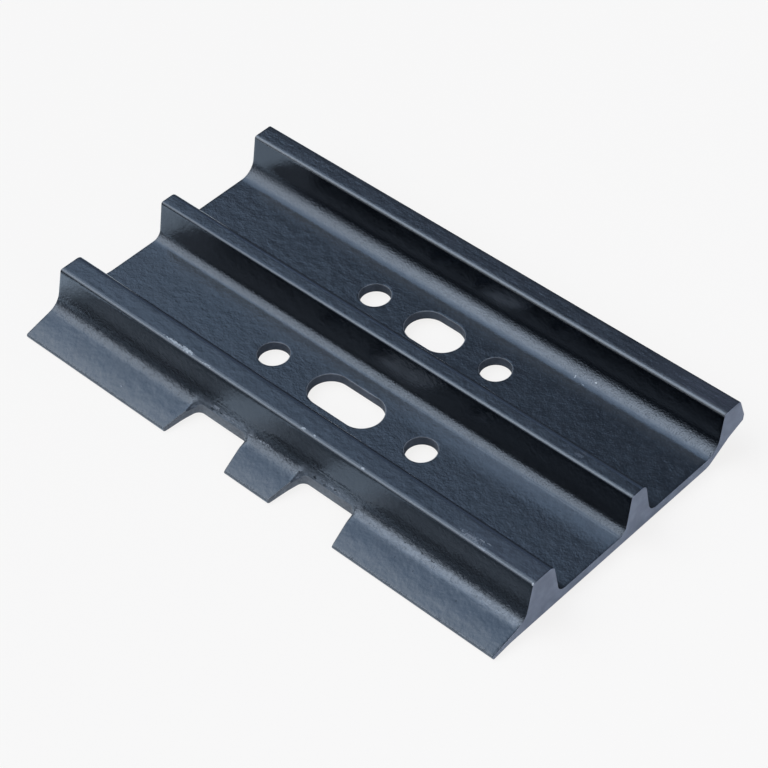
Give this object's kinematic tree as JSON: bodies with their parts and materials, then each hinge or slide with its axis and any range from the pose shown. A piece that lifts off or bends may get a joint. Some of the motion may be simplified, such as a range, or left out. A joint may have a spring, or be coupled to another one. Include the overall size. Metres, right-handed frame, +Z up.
{
  "type": "excavator track shoe",
  "caption": "Rolled-steel track shoe plate with full-length grousers, a thin leading lip notched for the track links, a raised trailing edge, punched bolt holes and mud slots.",
  "frame": {"origin": "on the flat link face (the underside), halfway along the shoe and halfway between the two rows of bolt holes, under the middle grouser", "axes": "+X along the grousers, +Y from the thin leading lip towards the raised trailing edge, +Z up out of the ground side, away from the links"},
  "size_m": [0.3012, 0.1721, 0.0273],
  "materials": {
    "black_paint": "semi-gloss black paint over hot-rolled steel, lightly pebbled, with small bright chips on the front grouser"
  },
  "bodies": {
    "root": {"track_shoe": "black_paint"}
  },
  "joints": []
}
